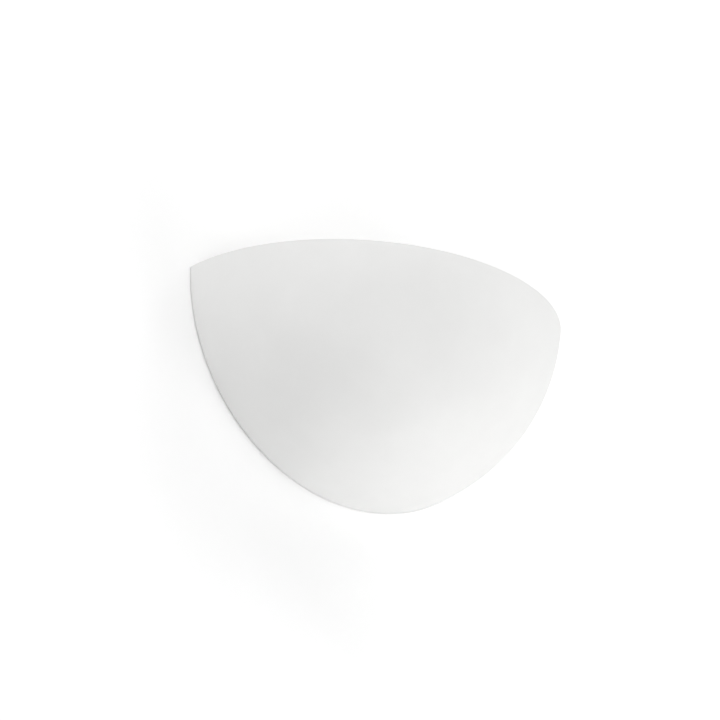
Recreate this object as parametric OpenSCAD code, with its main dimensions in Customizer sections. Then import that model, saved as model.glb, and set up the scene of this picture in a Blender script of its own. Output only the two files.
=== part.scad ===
// Uplighter wall sconce: a quarter-sphere plaster bowl that hangs on two hooks on a steel wall plate.
// The plate carries a lampholder on an arm, and a small globe lamp shines up out of the bowl.
// Millimetres. X runs along the wall, the room is towards -Y, the wall is the plane Y = 0, Z is up.
// The origin is midway between the two wall fixing slots, on the wall.

/* [Shade] */
// Width of the bowl across its rim, at the wall
shade_w = 300; // [286:1:320]
// Height of the bowl from its lowest point to its rim
shade_h = 143; // [136:1:150]
// Thickness of the plaster
shade_t = 9; // [7:0.5:11]
// Height of the rim above the wall fixings
rim_z = 42; // [36:1:48]
// Bevel along both edges of the rim
rim_bevel = 1.2; // [0.6:0.1:2]
// Gap that keeps the plaster's back edge off the wall
wall_gap = 1; // [0.6:0.1:1.6]
// Diameter of the felt pads in that gap
pad_d = 7; // [5:0.5:8]
// Angle from the bowl's lowest point to its outer pads
pad_spread = 65; // [50:1:75]

/* [Hooks] */
// Height of the shoulders that the shade rests on, above the fixings
hook_z = 8; // [5:1:11]
// Distance from the wall to the fingers
hook_y = 14; // [11:1:17]
// Width of each finger
finger_w = 10; // [8:1:12]
// Height of each finger above its shoulder
finger_h = 8; // [6:1:10]
// Clearance round a finger in its slot
hook_clear = 0.7; // [0.5:0.1:1]
// Width of the hanger plates
hanger_w = 17; // [15:1:20]
// Thickness of the hanger plates
hanger_t = 2; // [1.5:0.5:3]
// Depth of the plaster lugs, in from the bowl's wall
lug_l = 12; // [10:1:15]
// Thickness of the folded hook brackets
hook_t = 1.5; // [1.2:0.1:2]
// Inside radius of their folds
fold_r = 2; // [1.5:0.5:3]
// Length of the leg that is riveted to the wall plate
leg_l = 24; // [22:1:28]
// Gap between a lug and its hook bracket
lug_gap = 3; // [2:0.5:4]
// Height of the lugs
lug_h = 27; // [22:1:32]

/* [Wall plate] */
// Height of the wall plate
plate_h = 40; // [38:1:46]
// Thickness of the wall plate
plate_t = 1.5; // [1.2:0.1:2]
// Distance between the wall fixing slots
fix_pitch = 120; // [110:1:130]
// Width of a fixing slot
slot_w = 5; // [4.5:0.5:6]
// Length of a fixing slot, end to end
slot_l = 12; // [10:1:14]
// Distance of the cable entry to the left of the middle
entry_x = 35; // [32:1:38]
// Bore of the cable grommet
grommet_d = 8; // [7:0.5:9]
// Distance of the earth screw to the right of the middle
earth_x = 34; // [32:1:38]

/* [Lamp arm] */
// Distance from the wall to the lamp's axis
lamp_y = 55; // [50:1:58]
// Width of the arm
arm_w = 30; // [26:1:32]
// Thickness of the arm
arm_t = 2; // [1.5:0.5:2.5]
// Radius of the round shelf under the lampholder
shelf_r = 23; // [22:0.5:25]
// Least gap between the shelf and the bowl while the bowl is lifted off
shelf_gap = 3; // [2:0.5:5]

/* [Lampholder] */
// Diameter of the porcelain body
holder_d = 47; // [46:1:50]
// Height of the porcelain body
holder_h = 50; // [46:1:54]
// Thickness of the porcelain skirt
skirt_t = 3; // [2.5:0.5:3.5]
// Thickness of the porcelain floor
floor_t = 12; // [11:1:14]
// Smallest inside radius of the screw sleeve, clear of the lamp cap
sleeve_r = 13.5; // [13.4:0.1:13.8]
// Height of the screw sleeve
sleeve_h = 22; // [18:1:24]
// Height of the middle contact above the floor
contact_h = 4; // [3:0.5:5]

/* [Lamp] */
// Diameter of the opal globe
globe_d = 45; // [43:1:48]
// Overall length of the lamp
lamp_l = 76; // [73:1:80]
// Outside radius of the screw cap
cap_r = 13.1; // [12.9:0.1:13.1]
// Wall of the globe
globe_t = 1.2; // [1:0.1:1.6]

/* [Wiring] */
// Distance between the poles of the terminal block
pole_pitch = 8.5; // [8.3:0.1:9]
// Height of the terminal block
block_h = 18; // [16:1:18]
// Diameter of the insulated leads
lead_d = 2.4; // [2:0.1:2.6]
// Diameter of their bare ends
core_d = 1.2; // [1:0.1:1.4]

/* [Hidden] */
$fn = 96;

eps = 0.01;
big = 400;

// Colours
plaster_colour = "#f1f0ee";
steel_white = "#e9e9e6";
zinc = "#b9bcc0";
brass = "#c9a85c";
porcelain = "#eceae4";
rubber_black = "#2b2b2b";
felt_grey = "#8d8d8b";
nylon_white = "#e6e4da";

// The bowl is part of one sphere: this radius gives both its width and its height.
half_w = shade_w / 2;
shade_r = (half_w * half_w + shade_h * shade_h) / (2 * shade_h);
shade_ri = shade_r - shade_t;
ball_z = rim_z - shade_h + shade_r;
function rim_x(r) = sqrt(r * r - pow(ball_z - rim_z, 2));
// Half the width of the bowl's inside at a height and a distance from the wall
function inside_x(z, y) = sqrt(shade_ri * shade_ri - pow(ball_z - z, 2) - y * y);

// The hooks follow the bowl's inside
hook_mid_y = hook_y + finger_w / 2;
lug_x = inside_x(hook_z, hook_y + finger_w) - lug_l;
tab_x = lug_x - lug_gap;
tab_d = hook_y + finger_w + 2;
fold_ro = fold_r + hook_t;
lug_d = hook_mid_y + hanger_w / 2 + 5;
lug_over = 14;
lug_slope = 12;
lug_top = hook_z + hanger_t + lug_over;
hanger_x0 = tab_x - hook_t - 11;
hanger_x1 = inside_x(hook_z, hook_y + finger_w) - 2;
anchor_r = 2.5;
lift = finger_h + 1;
// Lowest point of the hook brackets and the ends of the wall plate, clear of the bowl while it is lifted
tab_low = lift + ball_z - sqrt(pow(shade_ri, 2) - pow(tab_d, 2) - pow(tab_x + lug_gap, 2));
web_x = min(tab_x, inside_x(-plate_h / 2 - lift, plate_t) - lug_gap);
hook_rivet_in = 7;
hook_rivet_step = 8;
hook_rivet_xs = [web_x - hook_rivet_in - hook_rivet_step, web_x - hook_rivet_in];
hook_rivet_z = (tab_low + hook_z) / 2;
leg_x = min(tab_x - leg_l, hook_rivet_xs[0] - hook_rivet_in);

// The shelf sits as low as the bowl allows when the bowl is lifted off its hooks
shelf_z = ball_z - sqrt(pow(shade_ri, 2) - pow(lamp_y + shelf_r, 2)) + lift + shelf_gap + arm_t;
holder_screw_x = 17.6;
// Its M3 screws, with their holes, washers and nuts
m3_r = 1.45;
m3_hole_r = 1.7;
m3_head_r = 2.6;
m3_head_h = 2;
m3_washer_r = 3.5;
m3_washer_t = 0.6;
m3_nut_flats = 5.5;
m3_nut_h = 2.4;
m3_tail = 1;
arm_top = -3;
rivet_x = 7;
rivet_z = -11;
rivet_r = 2;
rivet_head_r = 3.6;
rivet_head_h = 1.6;
rivet_dome_r = (rivet_head_r * rivet_head_r + rivet_head_h * rivet_head_h) / (2 * rivet_head_h);

// Terminal block, on the plate above the arm
block_z = 1;
block_y = 14;
ear_l = 7;
block_half = 1.5 * pole_pitch;
pole_y = plate_t + 7;
sleeve_bore_r = 1.6;
block_screw_zs = [block_z + 4.5, block_z + block_h - 4.5];

// Earth point
earth_z = -8;
washer_t = 0.6;
ring_t = 0.8;
barrel_y = plate_t + washer_t + ring_t + 1.1;
ring_reach = 12;
barrel_x = earth_x - ring_reach;

// Lampholder, in a frame at the top of the shelf on the lamp's axis
skirt_ri = holder_d / 2 - skirt_t;
sleeve_t = 0.5;
thread_pitch = 3.6;
thread_depth = 1;
term_x = 8.5;
term_y0 = 6.5;
term_y1 = 18.5;
term_z0 = 2.5;
term_z1 = 9.5;
term_wire_z = 5.2;
term_screw_y = 15.7;
sleeve_tab_a = 46;
sleeve_tab_r = 11.3;
contact_foot = [-7, 7.2];
contact_z = shelf_z + floor_t + contact_h;

// Lamp, in a frame at the tip of its contact
cap_z0 = 5;
cap_z1 = 25;
collar_z1 = 47;
globe_z = lamp_l - globe_d / 2;
globe_cut_r = sqrt(pow(globe_d / 2, 2) - pow(globe_z - collar_z1, 2));
board_t = 1.6;
chip_count = 10;
chip_ring_r = 11;
chip = [3.5, 2.8, 0.7];
driver_w = 16;
driver_t = 1.2;
driver_gap = 3;
capacitor_r = 4;
capacitor_l = 7;
coil = [10, 6, 8];
bridge = [6, 2.5, 5];

// ---------------------------------------------------------------- helpers

// Points on an arc about c, from angle a0 to a1
function arc(c, r, a0, a1, n = 8) =
    [for (i = [0:n]) let (a = a0 + (a1 - a0) * i / n) [c[0] + r * cos(a), c[1] + r * sin(a)]];

// Outline of a rectangle with round corners
function round_rect(x0, y0, x1, y1, r) = concat(
    arc([x1 - r, y1 - r], r, 0, 90), arc([x0 + r, y1 - r], r, 90, 180),
    arc([x0 + r, y0 + r], r, 180, 270), arc([x1 - r, y0 + r], r, 270, 360));

// Zigzag radii of a rolled thread from z0 to z1, with its crests at r
function thread(r, z0, z1) =
    let (n = 2 * floor((z1 - z0) / thread_pitch))
    [for (i = [0:n]) [r - (i % 2 == 0 ? thread_depth : 0), z0 + (z1 - z0) * i / n]];
function reversed(v) = [for (i = [len(v) - 1:-1:0]) v[i]];
function shifted(v, dx) = [for (p = v) [p[0] + dx, p[1]]];

// A flat outline in X and Z, as thick as t, with its back at y
module from_wall(y, t) translate([0, -y, 0]) rotate([90, 0, 0]) linear_extrude(t) children();
// An outline in Y and Z, extruded from x0 to x1
module across(x0, x1) translate([x0, 0, 0]) rotate([90, 0, 90]) linear_extrude(x1 - x0) children();
// A round bar or hole along Y, from y0 to y1 in front of the wall
module bar_y(x, z, r, y0, y1) translate([x, -y0, z]) rotate([90, 0, 0]) cylinder(r = r, h = y1 - y0);
module both_sides() { children(); mirror([1, 0, 0]) children(); }
module at_holder() translate([0, -lamp_y, shelf_z]) children();
module at_lamp() translate([0, -lamp_y, contact_z]) children();

// A pan-head screw along +Z: its head starts at 0 and its shank runs down to -l
module pan_screw(r, l, head_r, head_h) {
    difference() {
        union() {
            translate([0, 0, -l]) cylinder(r = r, h = l + eps);
            rotate_extrude() polygon(concat([[0, 0], [head_r, 0], [head_r, head_h * 0.45]],
                [[head_r * 0.82, head_h * 0.82], [head_r * 0.5, head_h], [0, head_h]]));
        }
        for (a = [0, 90]) rotate([0, 0, a])
            translate([-head_r * 0.5, -head_r * 0.09, head_h * 0.4]) cube([head_r, head_r * 0.18, head_h]);
    }
}

// A lead along a cubic curve with the control points p, with bare ends of length bare
module lead(p, side, bare) {
    rings = 14;
    sides = 8;
    function at(t) = pow(1 - t, 3) * p[0] + 3 * t * pow(1 - t, 2) * p[1]
        + 3 * t * t * (1 - t) * p[2] + pow(t, 3) * p[3];
    function along(t) = let (v = 3 * pow(1 - t, 2) * (p[1] - p[0]) + 6 * t * (1 - t) * (p[2] - p[1])
        + 3 * t * t * (p[3] - p[2])) v / norm(v);
    pts = [for (i = [0:rings]) let (t = i / rings, d = along(t),
                                    u = cross(d, side) / norm(cross(d, side)), v = cross(d, u))
           for (j = [0:sides - 1]) at(t) + lead_d / 2 * (cos(360 * j / sides) * u + sin(360 * j / sides) * v)];
    polyhedron(pts, concat(
        [[for (j = [0:sides - 1]) j]],
        [[for (j = [0:sides - 1]) rings * sides + sides - 1 - j]],
        [for (i = [0:rings - 1], j = [0:sides - 1]) let (a = i * sides + j, b = i * sides + (j + 1) % sides)
            [a, b + sides, b]],
        [for (i = [0:rings - 1], j = [0:sides - 1]) let (a = i * sides + j, b = i * sides + (j + 1) % sides)
            [a, a + sides, b + sides]]));
    bare_end(p[0], -along(0), bare);
    bare_end(p[3], along(1), bare);
}

// A bare core that starts just inside the end of a lead
module bare_end(at, dir, l) {
    polar = acos(dir[2]);
    turn = atan2(dir[1], dir[0]);
    translate(at - 0.5 * dir) rotate([0, polar, turn]) cylinder(d = core_d, h = l + 0.5);
}

// ---------------------------------------------------------------- shade

module plaster_shade() {
    color(plaster_colour) difference() {
        union() {
            bowl();
            both_sides() lug();
        }
        both_sides() hanger();
    }
}

module bowl() {
    difference() {
        rotate_extrude() difference() {
            translate([0, ball_z]) difference() {
                circle(r = shade_r);
                circle(r = shade_ri);
            }
            translate([-2 * big, -big]) square([2 * big, 2 * big]);
            translate([-big, rim_z]) square([2 * big, big]);
            rim_corner(rim_x(shade_r), 1);
            rim_corner(rim_x(shade_ri), -1);
        }
        translate([-big, -wall_gap, -big]) cube([2 * big, 2 * big, 2 * big]);
    }
}

// The corner that the bevel takes off the rim at the radius x, on its outer (1) or inner (-1) side
module rim_corner(x, side) {
    polygon([[x - side * rim_bevel, rim_z + eps], [x + side, rim_z + eps],
             [x + side, rim_z - rim_bevel - 1], [x, rim_z - rim_bevel]]);
}

// A lug cast on the bowl's inside, sloping into the wall underneath
module lug() {
    intersection() {
        translate([0, 0, ball_z]) sphere(r = shade_ri + shade_t / 2);
        from_wall(wall_gap, lug_d - wall_gap) polygon([
            [lug_x, lug_top], [half_w, lug_top], [half_w, lug_top - lug_h - lug_slope],
            [lug_x + 2, lug_top - lug_h], [lug_x, lug_top - lug_h + 3]]);
    }
}

// A steel plate that is cast into a lug, with a slot for the finger and a hole that plaster fills
module hanger() {
    y0 = -hook_mid_y - hanger_w / 2;
    y1 = -hook_mid_y + hanger_w / 2;
    difference() {
        translate([0, 0, hook_z]) linear_extrude(hanger_t) polygon(concat(
            [[hanger_x1, y0], [hanger_x1, y1]],
            arc([hanger_x0 + 4, y1 - 4], 4, 90, 180), arc([hanger_x0 + 4, y0 + 4], 4, 180, 270)));
        translate([tab_x - hook_t - hook_clear, -hook_y - finger_w - hook_clear, hook_z - 1])
            cube([hook_t + 2 * hook_clear, finger_w + 2 * hook_clear, hanger_t + 2]);
        translate([(lug_x + hanger_x1) / 2, -hook_mid_y, hook_z - 1]) cylinder(r = anchor_r, h = hanger_t + 2);
    }
}

module hanger_plate_left() color(zinc) mirror([1, 0, 0]) hanger();
module hanger_plate_right() color(zinc) hanger();

module felt_pads() {
    color(felt_grey) for (a = [-90 - pad_spread, -90, -90 + pad_spread])
        bar_y((shade_r - shade_t / 2) * cos(a), ball_z + (shade_r - shade_t / 2) * sin(a),
              pad_d / 2, 0, wall_gap);
}

// ---------------------------------------------------------------- wall plate and arm

module wall_plate() {
    color(steel_white) difference() {
        from_wall(0, plate_t) polygon(round_rect(-web_x, -plate_h / 2, web_x, plate_h / 2, 4));
        both_sides() {
            fixing_slot();
            bar_y(rivet_x, rivet_z, rivet_r, -1, plate_t + 1);
            bar_y(block_half + ear_l / 2, block_z + block_h / 2, m3_r + 0.05, -1, plate_t + 1);
            for (x = hook_rivet_xs) bar_y(x, hook_rivet_z, rivet_r, -1, plate_t + 1);
        }
        bar_y(-entry_x, 0, grommet_d / 2 + 2, -1, plate_t + 1);
        bar_y(earth_x, earth_z, 2, -1, plate_t + 1);
    }
}

// A strip folded forward from the wall plate: the fold's top edge is the shoulder, with a finger on it
module hook_bracket() {
    c = [tab_x - fold_ro, -plate_t - fold_ro];
    difference() {
        union() {
            translate([0, 0, tab_low]) linear_extrude(hook_z - tab_low) polygon(concat(
                [[leg_x, -plate_t]], arc(c, fold_ro, 90, 0), [[tab_x, -tab_d], [tab_x - hook_t, -tab_d]],
                arc(c, fold_r, 0, 90), [[leg_x, -plate_t - hook_t]]));
            across(tab_x - hook_t, tab_x) polygon(concat(
                [[-hook_y, hook_z - 2]], arc([-hook_y - 3, hook_z + finger_h - 3], 3, 0, 90),
                arc([-hook_y - finger_w + 3, hook_z + finger_h - 3], 3, 90, 180),
                [[-hook_y - finger_w, hook_z - 2]]));
        }
        for (x = hook_rivet_xs) bar_y(x, hook_rivet_z, rivet_r, 0, plate_t + hook_t + 1);
    }
}

module hook_bracket_left() color(steel_white) mirror([1, 0, 0]) hook_bracket();
module hook_bracket_right() color(steel_white) hook_bracket();

// A rivet that is flush at the wall and has a domed head on a stack as thick as t
module rivet(x, z, t) {
    bar_y(x, z, rivet_r, 0, t + eps);
    translate([x, -t, z]) rotate([90, 0, 0])
        rotate_extrude() polygon(concat([[0, 0]],
            arc([0, rivet_head_h - rivet_dome_r], rivet_dome_r, asin(1 - rivet_head_h / rivet_dome_r), 90, 5)));
}

module hook_rivets() {
    color(zinc) both_sides() for (x = hook_rivet_xs) rivet(x, hook_rivet_z, plate_t + hook_t);
}

module fixing_slot() {
    x = fix_pitch / 2;
    run = (slot_l - slot_w) / 2;
    for (s = [-1, 1]) bar_y(x + s * run, 0, slot_w / 2, -1, plate_t + 1);
    translate([x - run, -plate_t - 1, -slot_w / 2]) cube([2 * run, plate_t + 2, slot_w]);
}

module lamp_arm() {
    ro = fold_r + arm_t;
    c = [-plate_t - ro, shelf_z - arm_t + ro];
    color(steel_white) difference() {
        union() {
            across(-arm_w / 2, arm_w / 2) polygon(concat(
                [[-plate_t - arm_t, arm_top], [-plate_t, arm_top]], arc(c, ro, 0, -90),
                [[-lamp_y, shelf_z - arm_t], [-lamp_y, shelf_z]], arc(c, fold_r, -90, 0)));
            translate([0, -lamp_y, shelf_z - arm_t]) cylinder(r = shelf_r, h = arm_t);
        }
        for (s = [-1, 1]) {
            bar_y(s * rivet_x, rivet_z, rivet_r, 0, plate_t + arm_t + 1);
            translate([s * holder_screw_x, -lamp_y, shelf_z - arm_t - 1]) cylinder(r = m3_hole_r, h = arm_t + 2);
        }
    }
}

module arm_rivets() {
    color(zinc) both_sides() rivet(rivet_x, rivet_z, plate_t + arm_t);
}

module cable_grommet() {
    bore = grommet_d / 2;
    color(rubber_black) translate([-entry_x, 0, 0]) rotate([90, 0, 0]) rotate_extrude() polygon([
        [bore, 0], [bore + 2, 0], [bore + 2, plate_t], [bore + 4, plate_t], [bore + 4, plate_t + 1],
        [bore + 3.5, plate_t + 1.5], [bore + 2, plate_t + 1.5], [bore + 1.2, plate_t + 3.5], [bore, plate_t + 3.5]]);
}

// ---------------------------------------------------------------- terminal block and earth point

module terminal_block() {
    color(nylon_white) difference() {
        union() {
            from_wall(plate_t, 3) polygon(round_rect(-block_half - ear_l, block_z + 4,
                                                     block_half + ear_l, block_z + block_h - 4, 2));
            for (i = [-1:1]) across((i - 0.5) * pole_pitch + 0.3, (i + 0.5) * pole_pitch - 0.3) pole_outline();
            from_wall(plate_t, 9) polygon([[-block_half + 1, block_z + 2], [block_half - 1, block_z + 2],
                [block_half - 1, block_z + block_h - 2], [-block_half + 1, block_z + block_h - 2]]);
        }
        for (i = [-1:1]) {
            translate([i * pole_pitch, -pole_y, block_z - 1]) cylinder(r = 2.8, h = block_h + 2);
            for (z = block_screw_zs) bar_y(i * pole_pitch, z, 2, pole_y, plate_t + block_y + 1);
        }
        for (s = [-1, 1]) bar_y(s * (block_half + ear_l / 2), block_z + block_h / 2, 1.7, plate_t - 1, plate_t + 5);
    }
}

// Side view of one pole's housing
module pole_outline() {
    back = -plate_t;
    front = -plate_t - block_y;
    top = block_z + block_h;
    polygon([[back, block_z], [back, top], [front + 4, top], [front, top - 2.5],
             [front, block_z + 2.5], [front + 4, block_z]]);
}

module block_sleeves() {
    color(brass) for (i = [-1:1]) difference() {
        translate([i * pole_pitch, -pole_y, block_z + 2]) cylinder(r = 2.7, h = block_h - 4);
        translate([i * pole_pitch, -pole_y, block_z + 1]) cylinder(r = sleeve_bore_r, h = block_h - 2);
        for (z = block_screw_zs) bar_y(i * pole_pitch, z, 1.5, pole_y, pole_y + 5);
    }
}

// The lower screws grip the lamp's leads, and the upper ones stand open for the supply
module block_clamp_screws() {
    color(zinc) for (i = [-1:1], k = [0, 1]) {
        y0 = pole_y + core_d / 2 + k * 0.9;
        translate([i * pole_pitch, -y0, block_screw_zs[k]]) rotate([90, 0, 0]) difference() {
            cylinder(r = 1.45, h = 5);
            translate([-2, -0.25, 4.2]) cube([4, 0.5, 2]);
        }
    }
}

module block_fixing_screws() {
    color(zinc) for (s = [-1, 1])
        translate([s * (block_half + ear_l / 2), -plate_t - 3, block_z + block_h / 2]) rotate([90, 0, 0])
            pan_screw(m3_r, plate_t + 3, m3_head_r, m3_head_h);
}

module earth_screw() {
    color(zinc) translate([earth_x, -plate_t - washer_t - ring_t, earth_z]) rotate([90, 0, 0])
        pan_screw(1.95, plate_t + washer_t + ring_t, 3.8, 2.6);
}

module earth_washer() {
    teeth = 12;
    color(zinc) from_wall(plate_t, washer_t) translate([earth_x, earth_z]) difference() {
        polygon([for (i = [0:2 * teeth - 1]) let (a = 180 * i / teeth, r = i % 2 == 0 ? 4.4 : 3.6)
            [r * cos(a), r * sin(a)]]);
        circle(r = 2.1);
    }
}

module earth_ring() {
    y0 = plate_t + washer_t;
    color(zinc) difference() {
        union() {
            bar_y(earth_x, earth_z, 4, y0, y0 + ring_t);
            translate([barrel_x + 5, -y0 - ring_t, earth_z - 1.6]) cube([earth_x - barrel_x - 7, ring_t, 3.2]);
            translate([barrel_x, -barrel_y, earth_z]) rotate([0, 90, 0]) cylinder(r = 1.9, h = 6);
        }
        bar_y(earth_x, earth_z, 2.1, 0, y0 + ring_t + 1);
        translate([barrel_x - 1, -barrel_y, earth_z]) rotate([0, 90, 0]) cylinder(d = core_d + 0.1, h = 6);
    }
}

// ---------------------------------------------------------------- leads

// How far the supply leads head straight down before they bend to the holder
lead_drop = 30;

// Where each pole's lead leaves the block
function pole_exit(i) = [i * pole_pitch, -pole_y, block_z + 2];
// Where a lead enters a lampholder terminal
function terminal_entry(s) = [s * term_x, -lamp_y + term_y1, shelf_z + term_wire_z];

module supply_lead(pole, side) {
    a = pole_exit(pole);
    b = terminal_entry(side);
    lead([a, a + [0, 0, -lead_drop], [b[0], a[1] - 4, b[2]], b], [1, 0, 0], 6);
}

module live_lead() color("#7a4a2b") supply_lead(-1, -1);
module neutral_lead() color("#3f6fb5") supply_lead(0, 1);
module earth_lead() {
    a = pole_exit(1);
    b = [barrel_x, -barrel_y, earth_z];
    color("#7fae3c") lead([a, a + [0, -1, -10], b - [6, 0, 0], b], [0, 1, 0], 4.5);
}

// ---------------------------------------------------------------- lampholder

module holder_body() {
    r = holder_d / 2;
    color(porcelain) at_holder() difference() {
        rotate_extrude() polygon([[0, 0], [r - 1.5, 0], [r - 1.5, floor_t + 1], [r, floor_t + 2.5],
            [r, holder_h - 1], [r - 1, holder_h], [skirt_ri + 0.8, holder_h], [skirt_ri, holder_h - 0.8],
            [skirt_ri, floor_t], [0, floor_t]]);
        both_sides() {
            translate([holder_screw_x, 0, -1]) cylinder(r = m3_hole_r, h = floor_t + 2);
            translate([term_x - 3.5, term_y0 - 0.5, term_z0 - 0.5]) cube([7, r, term_z1 - term_z0 + 1]);
            translate([term_x, term_screw_y, term_z1]) cylinder(r = 2.4, h = floor_t);
            rotate([0, 0, sleeve_tab_a]) translate([sleeve_tab_r, 0, term_z1 - 1]) cylinder(r = 1.2, h = floor_t);
        }
        translate([contact_foot[0], contact_foot[1], term_z1 - 1]) cylinder(r = 1.2, h = floor_t);
        rotate([0, 0, 180 + sleeve_tab_a]) translate([sleeve_tab_r, 0, floor_t - 5]) cylinder(r = 1.2, h = floor_t);
    }
}

// The rolled screw shell, with two feet on the porcelain floor
module holder_sleeve() {
    inner = thread(sleeve_r + thread_depth, floor_t + 1.5, floor_t + sleeve_h);
    low = [sleeve_r + sleeve_t, floor_t + sleeve_t];
    color(brass) at_holder() difference() {
        union() {
            rotate_extrude() polygon(concat(shifted(reversed(inner), sleeve_t), inner));
            for (a = [0, 180]) rotate([0, 0, a + sleeve_tab_a]) {
                translate([9.8, -2.5, floor_t]) cube([sleeve_r - 9.8 + sleeve_t, 5, sleeve_t]);
                translate([sleeve_r, -2.5, floor_t]) cube([sleeve_t, 5, 2.2]);
            }
        }
        for (a = [0, 180]) rotate([0, 0, a + sleeve_tab_a])
            translate([sleeve_tab_r, 0, floor_t - 1]) cylinder(r = 1.2, h = 3);
    }
}

// The sprung tongue under the lamp's contact
module holder_contact() {
    t = 0.5;
    top = floor_t + contact_h;
    color(brass) at_holder() difference() {
        rotate([0, 0, atan2(contact_foot[1], contact_foot[0]) - 90]) across(-2.5, 2.5) polygon([
            [12, floor_t], [12, floor_t + t], [7, floor_t + t], [2.5, top], [-2.5, top],
            [-3.5, top - 1], [-3.5, top - 1.6], [-2.2, top - t], [2.2, top - t], [6.7, floor_t]]);
        translate([contact_foot[0], contact_foot[1], floor_t - 1]) cylinder(r = 1.2, h = 3);
    }
}

// Rivets from the terminals up to the sleeve's foot and the tongue, and one blind rivet
module holder_rivets() {
    head_z = floor_t + sleeve_t;
    color(brass) at_holder() {
        rotate([0, 0, sleeve_tab_a]) holder_rivet([sleeve_tab_r, 0], term_z1, head_z);
        rotate([0, 0, 180 + sleeve_tab_a]) holder_rivet([sleeve_tab_r, 0], floor_t - 5, head_z);
        holder_rivet(contact_foot, term_z1, head_z);
    }
}

module holder_rivet(at, z0, head_z) {
    translate([at[0], at[1], z0]) cylinder(r = 1.15, h = head_z - z0 + eps);
    translate([at[0], at[1], head_z]) cylinder(r1 = 1.9, r2 = 1.2, h = 0.7);
}

module holder_terminals() {
    color(brass) at_holder() both_sides() difference() {
        translate([term_x - 3, term_y0, term_z0]) cube([6, term_y1 - term_y0, term_z1 - term_z0]);
        translate([term_x, term_y1 + 1, term_wire_z]) rotate([90, 0, 0]) cylinder(r = 1.2, h = 8);
        translate([term_x, term_screw_y, term_wire_z]) cylinder(r = 1.5, h = 6);
    }
}

module holder_terminal_screws() {
    z0 = term_wire_z + core_d / 2;
    color(zinc) at_holder() both_sides() translate([term_x, term_screw_y, z0]) difference() {
        union() {
            cylinder(r = 1.45, h = term_z1 - z0 + eps);
            translate([0, 0, term_z1 - z0]) cylinder(r = 2.1, h = 1.8);
        }
        translate([-3, -0.3, term_z1 - z0 + 1]) cube([6, 0.6, 2]);
    }
}

module holder_screws() {
    color(zinc) at_holder() both_sides() translate([holder_screw_x, 0, floor_t])
        pan_screw(m3_r, floor_t + arm_t + m3_washer_t + m3_nut_h + m3_tail, m3_head_r, m3_head_h);
}

module holder_washers() {
    color(zinc) at_holder() both_sides() translate([holder_screw_x, 0, -arm_t - m3_washer_t]) difference() {
        cylinder(r = m3_washer_r, h = m3_washer_t);
        translate([0, 0, -1]) cylinder(r = m3_r + 0.15, h = m3_washer_t + 2);
    }
}

module holder_nuts() {
    color(zinc) at_holder() both_sides() translate([holder_screw_x, 0, -arm_t - m3_washer_t - m3_nut_h]) difference() {
        cylinder(r = m3_nut_flats / 2 / cos(30), h = m3_nut_h, $fn = 6);
        translate([0, 0, -1]) cylinder(r = m3_r + 0.05, h = m3_nut_h + 2);
    }
}

// ---------------------------------------------------------------- lamp

module lamp_contact() {
    color(zinc) at_lamp() rotate_extrude() polygon([[0, 0], [3.6, 0], [4.6, 0.6], [4.6, 1.2], [0, 1.2]]);
}

module lamp_insulator() {
    color(rubber_black) at_lamp() rotate_extrude()
        polygon([[0, 1.2], [5.2, 1.2], [cap_r - thread_depth - 0.6, cap_z0], [0, cap_z0]]);
}

module lamp_cap() {
    outer = thread(cap_r, cap_z0 + 1, cap_z1);
    foot = cap_r - thread_depth;
    color(zinc) at_lamp() rotate_extrude()
        polygon(concat([[foot - 0.5, cap_z0]], [[foot - 0.1, cap_z0]], outer, shifted(reversed(outer), -0.5)));
}

// Housing of the driver, flaring from the cap to the globe
module lamp_collar() {
    wall = 1.5;
    top_r = globe_cut_r + 0.5;
    neck_r = cap_r + 0.4;
    flare = [for (i = [0:10]) let (t = i / 10)
        [neck_r + (top_r - neck_r) * pow(sin(90 * t), 1.25), cap_z1 + 1 + (collar_z1 - cap_z1 - 4) * t]];
    color(steel_white) at_lamp() rotate_extrude() polygon(concat(
        [[cap_r - thread_depth - 0.6, cap_z1 - 6], [cap_r - thread_depth - 0.6, cap_z1], [neck_r, cap_z1]],
        flare, [[top_r, collar_z1], [top_r - wall, collar_z1], [top_r - wall, collar_z1 - board_t],
                [top_r - wall - 1.5, collar_z1 - board_t]],
        shifted(reversed([for (p = flare) if (p[1] < collar_z1 - board_t - 3) p]), -wall - 1),
        [[cap_r - thread_depth - 1.8, cap_z1], [cap_r - thread_depth - 1.8, cap_z1 - 6]]));
}

module lamp_globe() {
    r = globe_d / 2;
    color("#f6f3ea") at_lamp() difference() {
        translate([0, 0, globe_z]) sphere(r = r);
        translate([0, 0, globe_z]) sphere(r = r - globe_t);
        translate([0, 0, collar_z1 - big]) cylinder(r = big, h = big);
    }
}

module led_board() {
    color("#dcdcd8") at_lamp() translate([0, 0, collar_z1 - board_t])
        cylinder(r = globe_cut_r - globe_t - 0.1, h = board_t);
}

module led_chips() {
    color("#e8d86a") at_lamp() for (i = [0:chip_count - 1]) rotate([0, 0, 360 * i / chip_count])
        translate([chip_ring_r, -chip[1] / 2, collar_z1]) cube(chip);
}

// Upright driver board with its capacitor, coil and bridge
module driver_board() {
    y = driver_t / 2;
    color("#3f7d4e") at_lamp() {
        translate([-driver_w / 2, -y, cap_z0 + driver_gap])
            cube([driver_w, driver_t, collar_z1 - board_t - 1 - cap_z0 - driver_gap]);
        translate([0, -y, cap_z1 + capacitor_r + 1]) rotate([90, 0, 0]) cylinder(r = capacitor_r, h = capacitor_l);
        translate([-coil[0] / 2, y, cap_z1 + 1]) cube(coil);
        translate([-bridge[0] / 2, y, cap_z0 + 2 * driver_gap]) cube(bridge);
    }
}

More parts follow.
